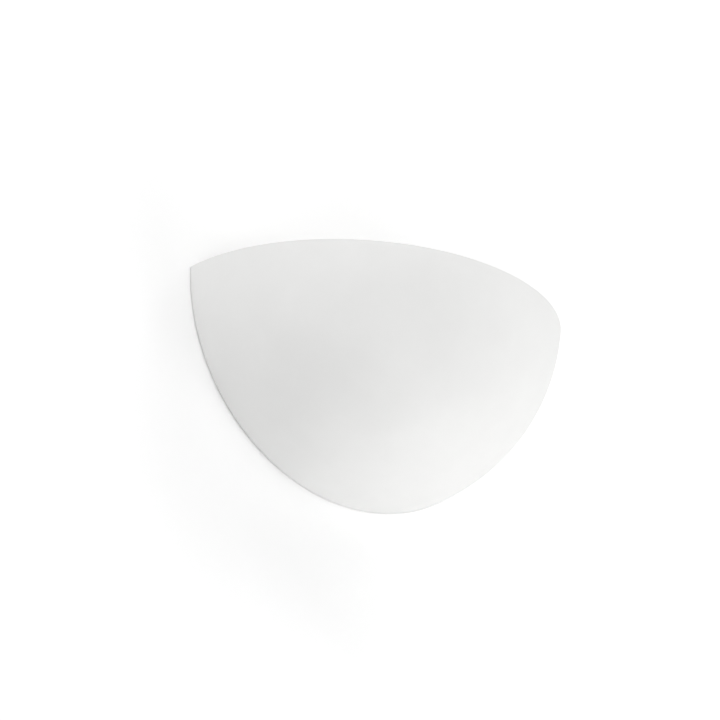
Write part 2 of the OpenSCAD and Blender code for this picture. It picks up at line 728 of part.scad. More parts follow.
plaster_shade();
hanger_plate_left();
hanger_plate_right();
felt_pads();
wall_plate();
hook_bracket_left();
hook_bracket_right();
hook_rivets();
lamp_arm();
arm_rivets();
cable_grommet();
terminal_block();
block_sleeves();
block_clamp_screws();
block_fixing_screws();
earth_screw();
earth_washer();
earth_ring();
earth_lead();
live_lead();
neutral_lead();
holder_body();
holder_sleeve();
holder_contact();
holder_rivets();
holder_terminals();
holder_terminal_screws();
holder_screws();
holder_washers();
holder_nuts();
lamp_contact();
lamp_insulator();
lamp_cap();
lamp_collar();
lamp_globe();
led_board();
led_chips();
driver_board();
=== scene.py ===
# Looks of the uplighter wall sconce: a cast plaster bowl on a white steel bracket, with its lamp and wiring.
# Metres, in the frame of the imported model: X along the wall, the room towards -Y, the wall at Y = 0, Z up.
import math

import bmesh
import bpy
from mathutils import Matrix, Vector, noise


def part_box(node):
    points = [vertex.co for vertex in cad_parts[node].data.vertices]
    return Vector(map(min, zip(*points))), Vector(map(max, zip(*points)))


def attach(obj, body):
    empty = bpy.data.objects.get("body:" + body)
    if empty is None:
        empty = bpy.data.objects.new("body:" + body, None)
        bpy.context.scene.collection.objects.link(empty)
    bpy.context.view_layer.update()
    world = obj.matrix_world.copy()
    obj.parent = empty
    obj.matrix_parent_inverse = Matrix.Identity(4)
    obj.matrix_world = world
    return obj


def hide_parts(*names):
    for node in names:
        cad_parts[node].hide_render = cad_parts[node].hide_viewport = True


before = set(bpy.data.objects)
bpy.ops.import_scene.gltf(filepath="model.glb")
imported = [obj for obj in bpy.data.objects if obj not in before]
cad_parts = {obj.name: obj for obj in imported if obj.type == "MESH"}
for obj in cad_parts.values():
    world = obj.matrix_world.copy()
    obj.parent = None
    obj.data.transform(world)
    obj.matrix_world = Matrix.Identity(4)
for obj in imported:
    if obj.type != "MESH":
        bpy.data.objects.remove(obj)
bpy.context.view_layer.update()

MM = 0.001

# The bowl is part of a ball, cut flat at its rim and near the wall
SHADE_LOW, SHADE_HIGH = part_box("plaster_shade")
SHADE_W = 300 * MM
SHADE_T = 9 * MM
WALL_GAP = -SHADE_HIGH.y
RIM_Z = SHADE_HIGH.z
SHADE_H = RIM_Z - SHADE_LOW.z
SHADE_R = ((SHADE_W / 2) ** 2 + SHADE_H ** 2) / (2 * SHADE_H)
SHADE_RI = SHADE_R - SHADE_T
BALL_Z = SHADE_LOW.z + SHADE_R
# How far the rim lies below the ball's middle
RIM_DROP = BALL_Z - RIM_Z
# The bowl's outside is this far inside the solid's, so that its unevenness doesn't pass the CAD box
SKIN = 0.1 * MM
RIM_BEVEL = 1.2 * MM
BACK_BEVEL = 0.6 * MM
# The back edge comes this much nearer to the wall at the bottom and the tips. The gap opens between the first
# two angles and closes between the others, in degrees from the lowest point
BACK_BOW = 0.8 * MM
BOW_OPENS = (15, 45)
BOW_CLOSES = (62, 86)
# Steps of the bowl's surface, across it and from the wall round to the rim. At its edges its unevenness fades
# out, over this share of them
STEPS_ACROSS = 180
STEPS_AROUND = 72
EDGE_FADE = 1 / 12

# The felt pads on its back edge, one at the bottom and two at this many degrees from it
PAD_R = 3.5 * MM
PAD_SPREAD = 65
PAD_SIDES = 40
PAD_FUZZ = 0.05

# The lugs inside it
HANGER_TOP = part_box("hanger_plate_right")[1].z
TAB_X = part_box("hook_bracket_right")[1].x
LUG_X = TAB_X + 3 * MM
LUG_L = 12 * MM
LUG_D = 32.5 * MM
LUG_TOP = HANGER_TOP + 14 * MM
LUG_H = 27 * MM
LUG_CORNER = 4 * MM
LUG_EDGE = 2.2 * MM
LUG_FILLET = 3.5 * MM
LUG_BACK = -WALL_GAP - 0.05 * MM
LUG_SIDE_STEPS = 8
LUG_FRONT_STEPS = 12
# How far a lug's underside sinks for each step out from its face to the bowl
LUG_SLOPE = 0.45
# Its root inside the plaster: how much wider it is than the fillet, and from which depth to which
ROOT_WIDER = 0.8 * MM
ROOT_FROM = 0.5 * MM
ROOT_TO = 3 * MM

# The wiring
POLE_PITCH = 8.5 * MM
POLE_Y = -8.5 * MM
POLE_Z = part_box("block_sleeves")[0].z
LEAD_R = 1.2 * MM
CORE_R = 0.6 * MM
LEAD_SIDES = 16
LEAD_STEPS = 48
CORE_SIDES = 12
# The narrowed end of a jacket: how long it is, and how much its radius shrinks
NOSE = 0.25 * MM
NOSE_IN = 0.12 * MM
# Stripes of the earth lead: 3 of each 8 faces round it are yellow
STRIPE_REPEAT = 8
STRIPE_FACES = 3
# Lengths of bare core at each end
SUPPLY_BARE = 6 * MM
EARTH_BARE = 4.5 * MM
# How far down the supply leads head before they turn to the holder, how far out from their poles they then
# are, and how high they enter its terminals
SUPPLY_DROP = 30 * MM
SUPPLY_OUT = 4 * MM
ENTRY_RISE = 2.7 * MM
# The earth lead starts towards this place below its pole, and ends in the ring terminal's barrel, which it
# enters along X: how far out from the wall, how high in the ring and over what length
EARTH_START = Vector((0, -1, -10)) * MM
EARTH_OUT = 4 * MM
EARTH_RISE = 4 * MM
EARTH_ENTRY = 6 * MM

# The lamp and its holder stand on one upright axis
HOLDER_LOW, HOLDER_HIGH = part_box("holder_body")
AXIS = (HOLDER_LOW + HOLDER_HIGH) / 2
THREAD_PITCH = 3.6 * MM
THREAD_DEPTH = 1.0 * MM
THREAD_SIDES = 96
ROWS_PER_TURN = 9
# The thread runs out over this share of its pitch
RUN_OUT = 0.6
# The cap tapers in below its thread, by the second length over the first
CAP_SHEET = 0.4 * MM
CAP_END = 0.7 * MM
CAP_END_IN = 0.5 * MM
# The sleeve's inner side is this far inside its solid's outside, and its thread stops short of both ends
SLEEVE_SHEET = 0.45 * MM
SLEEVE_IN = 0.5 * MM
SLEEVE_LOW_END = 1.5 * MM
SLEEVE_HIGH_END = 0.2 * MM
FOOT_HALF_WIDTH = 2.5 * MM
FOOT_LIFT = 0.02 * MM
FOOT_TURNS = (46, 226)

# The camera stands to the left and below the rim. It aims at the middle of the rim at the wall, and is then
# turned by its yaw, pitch and roll
CAMERA_DISTANCE = 1.8
CAMERA_AZIMUTH = math.radians(36.0)
CAMERA_RISE = math.radians(23.21)
CAMERA_YAW = math.radians(0.093)
CAMERA_PITCH = math.radians(0.807)
CAMERA_ROLL = math.radians(3.29)
CAMERA_LENS = 121.29
CAMERA_SENSOR = 36

# The stage
WALL_BEHIND = 0.1 * MM
WALL_REACH = 3.0
FLOOR_REACH = 30.0
FLOOR_Z = -1.7
STAGE_WHITE = 0.86
# The white where it is looked at: first beside the bowl's left edge, where the lower white is a painted
# shadow on the wall, then elsewhere
WALL_SEEN_WHITE_WITH_PAINTED_SHADE = (1.035, 1.165)
FLOOR_SEEN_WHITE = (2.0, 2.0)
# It turns from the first to the second along this direction, and also with the distance from the bowl, so the
# painted shadow lies only near the bowl, on its left and lower left
SEEN_SLANT = (1.0, 0.0, 0.7)
SEEN_FROM = -0.16
SEEN_TO = -0.05
AWAY_FROM = 0.16
AWAY_TO = 0.28
# Light gets through the wall on stretches shorter than this, and so falls on what lies against it
BACK_REACH = 2 * MM
# The wall and the floor turn plain white between these distances from the bowl
PLAIN_FROM = 0.45
PLAIN_AT = 0.9

# Lamps: azimuth and elevation as seen from the bowl, size, and how much of a white surface's light each gives
LAMP_DISTANCE = 2.4
LAMPS = {
    "low_right": (85, -43, 1.4, 0.92),
    "high_left": (-60, 45, 1.6, 0.455),
    "high_right": (50, 50, 1.6, 0.227),
    "low_left": (-40, -25, 1.6, 0.196),
    "front": (0, 0, 1.6, 0.168),
    "front_right": (30, 0, 1.6, 0.153),
}
WORLD_LIGHT = 0.199


# ------------------------------------------------------------------ camera, stage and lamps

def direction(azimuth, rise):
    """A unit vector that looks into the wall: azimuth turns it towards +X, rise turns it up."""
    return Vector((math.sin(azimuth) * math.cos(rise), math.cos(azimuth) * math.cos(rise), math.sin(rise)))


def make_camera():
    data = bpy.data.cameras.new("camera")
    data.sensor_width = CAMERA_SENSOR
    data.lens = CAMERA_LENS
    camera = bpy.data.objects.new("camera", data)
    bpy.context.scene.collection.objects.link(camera)
    bpy.context.scene.camera = camera
    place = Vector((0, 0, RIM_Z)) - CAMERA_DISTANCE * direction(CAMERA_AZIMUTH, CAMERA_RISE)
    ahead = direction(CAMERA_AZIMUTH + CAMERA_YAW, CAMERA_RISE - CAMERA_PITCH)
    level = Vector((ahead.y, -ahead.x, 0)).normalized()
    upright = level.cross(ahead)
    right = math.cos(CAMERA_ROLL) * level + math.sin(CAMERA_ROLL) * upright
    up = math.cos(CAMERA_ROLL) * upright - math.sin(CAMERA_ROLL) * level
    turn = Matrix((right, up, -ahead)).transposed()
    camera.matrix_world = Matrix.Translation(place) @ turn.to_4x4()


def stage_plane(name, corners, material):
    mesh = bpy.data.meshes.new(name)
    mesh.from_pydata(corners, [], [range(len(corners))])
    mesh.materials.append(material)
    plane = bpy.data.objects.new(name, mesh)
    bpy.context.scene.collection.objects.link(plane)


def seen_rays(tree, path):
    """1 for a ray by which something is looked at, straight on, in a reflection or through glass."""
    mirrored = math_node(tree, "MAXIMUM", path.outputs["Is Glossy Ray"], path.outputs["Is Transmission Ray"])
    return math_node(tree, "MAXIMUM", path.outputs["Is Camera Ray"], mirrored)


def stage_material(name, seen_white_with_painted_shade, see_through=False):
    """Matt white, and a brighter white where it is looked at, which turns plain away from the bowl. Near the
    bowl's left edge that white is lower, which is a painted shadow on the wall. A wall is see-through from
    behind, and lets light from behind fall on what lies against it."""
    material = bpy.data.materials.new(name)
    material.use_nodes = True
    tree = material.node_tree
    tree.nodes.clear()
    path = node(tree, "LightPath")
    looked_at = seen_rays(tree, path)
    place = node(tree, "TexCoord").outputs["Object"]
    across = node(tree, "VectorMath", {0: place, 1: SEEN_SLANT}, operation="DOT_PRODUCT").outputs["Value"]
    away = node(tree, "VectorMath", {0: place}, operation="LENGTH").outputs["Value"]
    whites = {"To Min": seen_white_with_painted_shade[0], "To Max": seen_white_with_painted_shade[1]}
    # A lower white on the bowl's left side and near the bowl: painted shade on the wall, where it is looked
    # at
    painted_shade_by_side = node(tree, "MapRange", {"Value": across, "From Min": SEEN_FROM, "From Max": SEEN_TO, **whites})
    painted_shade_by_distance = node(tree, "MapRange",
                       {"Value": away, "From Min": AWAY_FROM, "From Max": AWAY_TO, **whites})
    seen = math_node(tree, "MAXIMUM", painted_shade_by_side.outputs[0], painted_shade_by_distance.outputs[0])
    white = node(tree, "MapRange", {"Value": looked_at, "To Min": STAGE_WHITE, "To Max": seen})
    surface = node(tree, "BsdfDiffuse", {"Color": white.outputs[0]}).outputs[0]
    plain = node(tree, "MapRange", {"Value": away, "From Min": PLAIN_FROM, "From Max": PLAIN_AT})
    plain_share = math_node(tree, "MULTIPLY", plain.outputs[0], looked_at)
    plain_white = node(tree, "Emission").outputs[0]
    surface = node(tree, "MixShader", {0: plain_share, 1: surface, 2: plain_white}).outputs[0]
    if see_through:
        camera_ray = path.outputs["Is Camera Ray"]
        behind = math_node(tree, "MULTIPLY", camera_ray, node(tree, "NewGeometry").outputs["Backfacing"])
        near = math_node(tree, "LESS_THAN", path.outputs["Ray Length"], BACK_REACH)
        close = math_node(tree, "MULTIPLY", near, math_node(tree, "SUBTRACT", 1.0, camera_ray))
        clear = math_node(tree, "MAXIMUM", behind, close)
        transparent = node(tree, "BsdfTransparent").outputs[0]
        surface = node(tree, "MixShader", {0: clear, 1: surface, 2: transparent}).outputs[0]
    node(tree, "OutputMaterial", {"Surface": surface})
    return material


def make_stage():
    w = WALL_REACH
    f = FLOOR_REACH
    y = WALL_BEHIND
    stage_plane("wall", [(-w, y, FLOOR_Z), (w, y, FLOOR_Z), (w, y, w), (-w, y, w)],
                stage_material("wall_paint", WALL_SEEN_WHITE_WITH_PAINTED_SHADE, see_through=True))
    stage_plane("floor", [(-f, -f, FLOOR_Z), (f, -f, FLOOR_Z), (f, f, FLOOR_Z), (-f, f, FLOOR_Z)],
                stage_material("floor_paint", FLOOR_SEEN_WHITE))


def make_world():
    world = bpy.data.worlds.new("world")
    bpy.context.scene.world = world
    world.use_nodes = True
    tree = world.node_tree
    tree.nodes.clear()
    looked_at = seen_rays(tree, node(tree, "LightPath"))
    strength = node(tree, "MapRange", {"Value": looked_at, "To Min": WORLD_LIGHT, "To Max": 1.0})
    sky = node(tree, "Background", {"Color": (1, 1, 1, 1), "Strength": strength.outputs[0]})
    node(tree, "OutputWorld", {"Surface": sky.outputs[0]})


def make_lamp(name, azimuth, elevation, size, share):
    """A square soft lamp. A white surface that faces it is lit to its share."""
    light = bpy.data.lights.new(name, "AREA")
    light.shape = "SQUARE"
    light.size = size
    light.energy = share * math.pi ** 2 * LAMP_DISTANCE ** 2
    lamp = bpy.data.objects.new(name, light)
    lamp.visible_camera = False
    bpy.context.scene.collection.objects.link(lamp)
    a = math.radians(azimuth)
    e = math.radians(elevation)
    towards = Vector((math.sin(a) * math.cos(e), -math.cos(a) * math.cos(e), math.sin(e)))
    lamp.location = LAMP_DISTANCE * towards
    lamp.rotation_mode = "QUATERNION"
    lamp.rotation_quaternion = towards.to_track_quat("Z", "Y")


# ------------------------------------------------------------------ shader nodes

def node(tree, kind, inputs=None, **settings):
    made = tree.nodes.new("ShaderNode" + kind)
    for name, value in settings.items():
        setattr(made, name, value)
    for name, value in (inputs or {}).items():
        if isinstance(value, bpy.types.NodeSocket):
            tree.links.new(value, made.inputs[name])
        else:
            made.inputs[name].default_value = value
    return made


def math_node(tree, operation, a, b):
    return node(tree, "Math", {0: a, 1: b}, operation=operation).outputs[0]


class Finish:
    """A Principled material on object coordinates, in which sizes are given in millimetres."""

    def __init__(self, name, roughness, **fixed):
        self.material = bpy.data.materials.new(name)
        self.material.use_nodes = True
        self.tree = self.material.node_tree
        self.shader = self.tree.nodes["Principled BSDF"]
        self.shader.inputs["Roughness"].default_value = roughness
        for key, value in fixed.items():
            self.shader.inputs[key.replace("_", " ")].default_value = value
        self.place = node(self.tree, "TexCoord").outputs["Object"]
        self.normal = None

    def grain(self, size, detail=4, roughness=0.55, stretch=None, distortion=0.0):
        """Noise from 0 to 1 with features of that size."""
        place = self.place
        if stretch:
            place = node(self.tree, "Mapping", {"Vector": place, "Scale": stretch}).outputs[0]
        return node(self.tree, "TexNoise", {"Vector": place, "Scale": 1 / (size * MM), "Detail": detail,
                                            "Roughness": roughness, "Distortion": distortion}).outputs[0]

    def cells(self, size):
        return node(self.tree, "TexVoronoi", {"Vector": self.place, "Scale": 1 / (size * MM)})

    def spread(self, value, low, high, to_low=0.0, to_high=1.0):
        return node(self.tree, "MapRange", {"Value": value, "From Min": low, "From Max": high,
                                            "To Min": to_low, "To Max": to_high}).outputs[0]

    def times(self, a, b):
        return math_node(self.tree, "MULTIPLY", a, b)

    def mix(self, factor, a, b):
        a, b = (c if isinstance(c, bpy.types.NodeSocket) else (*c, 1) for c in (a, b))
        return node(self.tree, "Mix", {0: factor, 6: a, 7: b}, data_type="RGBA").outputs[2]

    def colour(self, socket):
        self.tree.links.new(socket, self.shader.inputs["Base Color"])

    def roughness(self, socket):
        self.tree.links.new(socket, self.shader.inputs["Roughness"])

    def bump(self, height, depth, strength=1.0):
        """Adds relief: height from 0 to 1 stands for that depth in millimetres."""
        inputs = {"Height": height, "Distance": depth * MM, "Strength": strength}
        if self.normal:
            inputs["Normal"] = self.normal
        self.normal = node(self.tree, "Bump", inputs).outputs[0]
        self.tree.links.new(self.normal, self.shader.inputs["Normal"])


# ------------------------------------------------------------------ finishes

def plaster():
    """Dead matt cast plaster, wiped smooth outside, with wiping marks and pinholes inside."""
    f = Finish("cast_plaster", 0.92, Specular_IOR_Level=0.25)
    inside = node(f.tree, "Attribute", attribute_name="inside").outputs["Fac"]
    clouds = f.spread(f.grain(55, 3), 0.35, 0.65)
    white = f.mix(clouds, (0.872, 0.872, 0.864), (0.893, 0.893, 0.885))
    specks = f.spread(f.grain(1.6, 2), 0.70, 0.78, 0.0, 0.35)
    white = f.mix(specks, white, (0.80, 0.795, 0.775))
    f.colour(f.mix(f.times(inside, 0.5), white, (0.865, 0.862, 0.848)))
    f.roughness(f.spread(f.grain(9, 4), 0.3, 0.7, 0.86, 0.96))
    wiped = f.grain(7, 5, 0.6, stretch=(0.35, 0.35, 2.2), distortion=0.6)
    f.bump(f.times(wiped, inside), 0.5, 0.8)
    pits = f.cells(5.5)
    few = f.spread(pits.outputs["Color"], 0.62, 0.7)
    hole = f.spread(pits.outputs["Distance"], 0.05, 0.11, 1.0, 0.0)
    f.bump(f.times(f.times(hole, few), f.spread(inside, 0, 1, -0.06, -0.9)), 0.4)
    f.bump(f.grain(0.9, 5, 0.65), 0.05, 0.7)
    return f.material


def powder_coat():
    """White powder coat with its fine orange peel."""
    f = Finish("powder_coated_steel", 0.42, Specular_IOR_Level=0.5)
    clouds = f.spread(f.grain(30, 3), 0.35, 0.65)
    f.colour(f.mix(clouds, (0.80, 0.80, 0.788), (0.82, 0.82, 0.805)))
    f.roughness(f.spread(f.grain(3, 4), 0.3, 0.7, 0.36, 0.50))
    f.bump(f.grain(1.3, 2, 0.4), 0.035, 0.8)
    return f.material


def metal(name, colour, dull, roughness, scratch=(1, 1, 14)):
    """Bare or plated metal: patches of duller tone, fine scratches along one direction."""
    f = Finish(name, roughness, Metallic=1.0)
    patches = f.spread(f.grain(6, 5, 0.6), 0.38, 0.66)
    lines = f.grain(1.4, 4, 0.6, stretch=scratch)
    f.colour(f.mix(patches, colour, dull))
    f.roughness(f.spread(lines, 0.3, 0.7, roughness - 0.08, roughness + 0.12))
    f.bump(lines, 0.012, 0.6)
    return f.material


def moulded(name, colour, roughness, grain_size=0.8, depth=0.02, variation=0.03, **fixed):
    """Moulded rubber, nylon or plastic with a fine tool texture and slight changes of tone."""
    f = Finish(name, roughness, **fixed)
    clouds = f.spread(f.grain(12, 3), 0.3, 0.7)
    f.colour(f.mix(clouds, colour, tuple(max(0.0, c * (1 - variation)) for c in colour)))
    f.roughness(f.spread(f.grain(2.5, 4), 0.3, 0.7, max(0.03, roughness - 0.05), roughness + 0.06))
    f.bump(f.grain(grain_size, 3, 0.5), depth, 0.6)
    return f.material


def porcelain():
    """Glazed white porcelain: a slightly wavy gloss with a few specks under it."""
    f = Finish("glazed_porcelain", 0.12, Specular_IOR_Level=0.55, Coat_Weight=0.4, Coat_Roughness=0.05)
    clouds = f.spread(f.grain(18, 2), 0.3, 0.7)
    white = f.mix(clouds, (0.83, 0.82, 0.785), (0.86, 0.852, 0.82))
    specks = f.spread(f.grain(1.1, 2), 0.74, 0.80, 0.0, 0.5)
    f.colour(f.mix(specks, white, (0.55, 0.50, 0.42)))
    f.roughness(f.spread(f.grain(7, 3), 0.3, 0.7, 0.08, 0.18))
    f.bump(f.grain(6, 2, 0.4), 0.05, 0.5)
    return f.material


def opal():
    """Satin opal diffuser, with light scattered under its skin."""
    f = Finish("opal_diffuser", 0.32, Subsurface_Weight=0.35, Subsurface_Scale=0.004)
    f.shader.inputs["Subsurface Radius"].default_value = (1.0, 0.95, 0.85)
    clouds = f.spread(f.grain(14, 3), 0.3, 0.7)
    f.colour(f.mix(clouds, (0.90, 0.893, 0.87), (0.92, 0.915, 0.895)))
    f.roughness(f.spread(f.grain(2, 4), 0.3, 0.7, 0.27, 0.38))
    f.bump(f.grain(0.7, 2, 0.4), 0.01, 0.5)
    return f.material


def felt():
    f = Finish("wool_felt", 0.95, Sheen_Weight=0.3, Sheen_Roughness=0.6)
    fibres = f.grain(0.5, 6, 0.7, distortion=2.5)
    f.colour(f.mix(fibres, (0.17, 0.17, 0.165), (0.36, 0.36, 0.35)))
    f.bump(fibres, 0.3)
    return f.material


def circuit_board(name, colour, mark):
    """Solder mask with a network of slightly raised tracks."""
    f = Finish(name, 0.35)
    tracks = node(f.tree, "TexVoronoi", {"Vector": f.place, "Scale": 1 / (2.2 * MM)}, distance="CHEBYCHEV")
    line = f.spread(tracks.outputs["Distance"], 0.42, 0.5)
    f.colour(f.mix(line, colour, mark))
    f.bump(line, 0.04)
    return f.material


def make_finishes():
    """One finish for each of the record's material slots."""
    return {
        "plaster": plaster(),
        "felt": felt(),
        "white_steel": powder_coat(),
        "zinc_steel": metal("zinc_plated_steel", (0.64, 0.66, 0.68), (0.50, 0.52, 0.53), 0.34),
        "black_rubber": moulded("moulded_rubber", (0.022, 0.022, 0.023), 0.68, 0.5, 0.03),
        "nylon": moulded("natural_nylon", (0.80, 0.785, 0.72), 0.42, 0.7, 0.02, 0.03, Subsurface_Weight=0.15,
                         Subsurface_Scale=0.002),
        "brass": metal("turned_brass", (0.80, 0.62, 0.32), (0.60, 0.43, 0.20), 0.27, (1, 1, 10)),
        "tinned_copper": metal("tinned_copper", (0.68, 0.66, 0.62), (0.56, 0.53, 0.48), 0.36, (6, 1, 1)),
        "nickel": metal("nickel_plated_cap", (0.72, 0.70, 0.66), (0.60, 0.585, 0.55), 0.24, (1, 1, 8)),
        "lead_live": moulded("brown_pvc", (0.150, 0.062, 0.030), 0.38, 0.6, 0.01, 0.12),
        "lead_neutral": moulded("blue_pvc", (0.020, 0.115, 0.42), 0.38, 0.6, 0.01, 0.12),
        "lead_earth": moulded("green_pvc", (0.050, 0.28, 0.055), 0.38, 0.6, 0.01, 0.12),
        "porcelain": porcelain(),
        "black_glass": moulded("black_glass", (0.012, 0.011, 0.013), 0.10, 2.5, 0.02, 0.2),
        "lamp_plastic": moulded("lamp_housing_plastic", (0.83, 0.828, 0.81), 0.36, 0.9, 0.012, 0.015,
                                Subsurface_Weight=0.08, Subsurface_Scale=0.001),
        "opal": opal(),
        "board_white": circuit_board("white_board", (0.78, 0.78, 0.76), (0.70, 0.70, 0.68)),
        "led_yellow": moulded("led_phosphor", (0.80, 0.62, 0.14), 0.45, 0.5, 0.02, 0.1),
        "board_green": circuit_board("green_board", (0.030, 0.16, 0.070), (0.045, 0.22, 0.10)),
    }


# ------------------------------------------------------------------ mesh helpers

def make_piece(name, mesh, body, finishes, replaced=()):
    piece = bpy.data.objects.new(name, mesh)
    bpy.context.scene.collection.objects.link(piece)
    for material in finishes:
        mesh.materials.append(material)
    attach(piece, body)
    if replaced:
        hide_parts(*replaced)
    return piece


def bridge(faces, row_a, row_b, closed=False):
    """Quads between two rows of vertices, and triangles where a row has shrunk to a point."""
    count = len(row_a)
    for i in range(count if closed else count - 1):
        j = (i + 1) % count
        corners = []
        for v in (row_a[i], row_a[j], row_b[j], row_b[i]):
            if v not in corners:
                corners.append(v)
        if len(corners) > 2:
            faces.append(corners)


def mesh_from(name, points, faces, sharp_angle=None, weld=None):
    mesh = bpy.data.meshes.new(name)
    mesh.from_pydata(points, [], faces)
    bm = bmesh.new()
    bm.from_mesh(mesh)
    if weld:
        bmesh.ops.remove_doubles(bm, verts=bm.verts, dist=weld)
    bmesh.ops.recalc_face_normals(bm, faces=bm.faces)
    for face in bm.faces:
        face.smooth = True
    bm.to_mesh(mesh)
    bm.free()
    if sharp_angle:
        mesh.set_sharp_from_angle(angle=math.radians(sharp_angle))
    return mesh


def ease(t):
    return t * t * (3 - 2 * t)


# ------------------------------------------------------------------ the bowl

def ripple(p, size, depth):
    """Soft unevenness of a hand-finished casting, with features of that size."""
    return depth * noise.noise(Vector(p) / size)


def ramp(value, start, end):
    """A smooth rise from 0 at the start to 1 at the end."""
    return ease(min(1.0, max(0.0, (value - start) / (end - start))))


def back_gap(turn):
    """How far the back edge stands off the wall at that angle from its lowest point. A cast edge isn't quite
    flat: it comes close at the bottom and at the two tips, and is open at the sides."""
    degrees = abs(math.degrees(turn))
    return WALL_GAP - BACK_BOW * (1 - ramp(degrees, *BOW_OPENS) * (1 - ramp(degrees, *BOW_CLOSES)))


def shell_grid(r, uneven):
    """Rows of points on the ball of radius r, from the back edge round to the rim, one for each step across.
    The rows shrink towards the two points where the rim meets the wall."""
    last_turn = math.acos(math.hypot(WALL_GAP - BACK_BOW, RIM_DROP) / r)
    rows = []
    for i in range(STEPS_ACROSS + 1):
        turn = -last_turn + 2 * last_turn * i / STEPS_ACROSS
        row_r = r * math.cos(turn)
        back = math.acos(min(1.0, back_gap(turn) / row_r))
        rim = math.asin(min(1.0, RIM_DROP / row_r))
        row = []
        for j in range(STEPS_AROUND + 1):
            t = j / STEPS_AROUND
            around = back + (rim - back) * t
            p = Vector((r * math.sin(turn), -row_r * math.cos(around), BALL_Z - row_r * math.sin(around)))
            from_edge = min(t, 1 - t, min(i, STEPS_ACROSS - i) / STEPS_ACROSS)
            out = Vector((p.x, p.y, p.z - BALL_Z)).normalized()
            row.append(p + out * uneven(p) * ease(min(1.0, from_edge / EDGE_FADE)))
        rows.append(row)
    return rows


def smooth_outside(p):
    return ripple(p, 60 * MM, 0.06 * MM)


def rough_inside(p):
    return ripple(p, 35 * MM, 0.30 * MM) + ripple(p, 11 * MM, 0.10 * MM)


def bowl_mesh():
    points, faces = [], []
    shells = []
    for r, uneven in ((SHADE_R - SKIN, smooth_outside), (SHADE_RI, rough_inside)):
        rows = []
        for row in shell_grid(r, uneven):
            rows.append(range(len(points), len(points) + len(row)))
            points += row
        for a, b in zip(rows, rows[1:]):
            bridge(faces, a, b)
        shells.append(rows)
    for end in (0, STEPS_AROUND):
        bridge(faces, [row[end] for row in shells[0]], [row[end] for row in shells[1]])
    mesh = mesh_from("plaster_bowl", points, faces, weld=0.01 * MM)
    mark_inside(mesh)
    return mesh


def mark_inside(mesh):
    """The attribute that turns the plaster rough: 1 on the inner surface, 0 on the rim and outside."""
    middle = (SHADE_R + SHADE_RI) / 2
    centre = Vector((0, 0, BALL_Z))
    flags = mesh.attributes.new("inside", "FLOAT", "POINT")
    for vertex, flag in zip(mesh.vertices, flags.data):
        flag.value = 1.0 if (vertex.co - centre).length < middle else 0.0


def weigh_edges(mesh):
    """Bevel weights for the bowl's rim and back edges: whole on the rim, and less at the wall."""
    weights = mesh.attributes.new("bevel_weight_edge", "FLOAT", "EDGE")
    centre = Vector((0, 0, BALL_Z))
    near = 0.02 * MM

    def off_wall(p):
        return abs(p.y + back_gap(math.asin(p.x / (p - centre).length)))

    for edge, weight in zip(mesh.edges, weights.data):
        ends = [mesh.vertices[i].co for i in edge.vertices]
        on_rim = all(abs(p.z - RIM_Z) < near for p in ends)
        at_wall = all(off_wall(p) < near for p in ends)
        along = abs((ends[0] - centre).length - (ends[1] - centre).length) < SHADE_T / 2
        if at_wall and (along or on_rim):
            weight.value = BACK_BEVEL / RIM_BEVEL
        elif on_rim and along:
            weight.value = 1.0


def make_bowl(finish):
    mesh = bowl_mesh()
    weigh_edges(mesh)
    bowl = make_piece("plaster_bowl", mesh, "shade", [finish], ["plaster_shade"])
    edges = bowl.modifiers.new("rim_edges", "BEVEL")
    edges.width = RIM_BEVEL
    edges.segments = 4
    edges.limit_method = "WEIGHT"
    edges.harden_normals = True


def inner_x(y, z):
    """Where the bowl's inner surface is at that depth and height."""
    return math.sqrt(SHADE_RI ** 2 - y ** 2 - (BALL_Z - z) ** 2)


def lug_outline(offset):
    """Points round a lug, from the wall over its top, front and underside back to the wall. They stand that
    offset outside its sides. Each has its Y, its Z and how far it sinks for each step up from the face."""
    top = LUG_TOP
    low = LUG_TOP - LUG_H
    front = LUG_CORNER - LUG_D
    r = LUG_CORNER + offset
    run = LUG_BACK - front
    out = [(LUG_BACK - run * i / LUG_SIDE_STEPS, top + offset, 0) for i in range(LUG_SIDE_STEPS)]
    for degrees in range(0, 91, 15):
        turn = math.radians(degrees)
        out.append((front - r * math.sin(turn), top - LUG_CORNER + r * math.cos(turn), 0))
    for i in range(1, LUG_FRONT_STEPS):
        share = i / LUG_FRONT_STEPS
        z = top - LUG_CORNER + (2 * LUG_CORNER - LUG_H) * share
        out.append((-LUG_D - offset, z, LUG_SLOPE * ease(share)))
    for degrees in range(0, 91, 15):
        turn = math.radians(degrees)
        out.append((front - r * math.cos(turn), low + LUG_CORNER - r * math.sin(turn), LUG_SLOPE))
    for i in range(1, LUG_SIDE_STEPS + 1):
        out.append((front + run * i / LUG_SIDE_STEPS, low - offset, LUG_SLOPE))
    return out


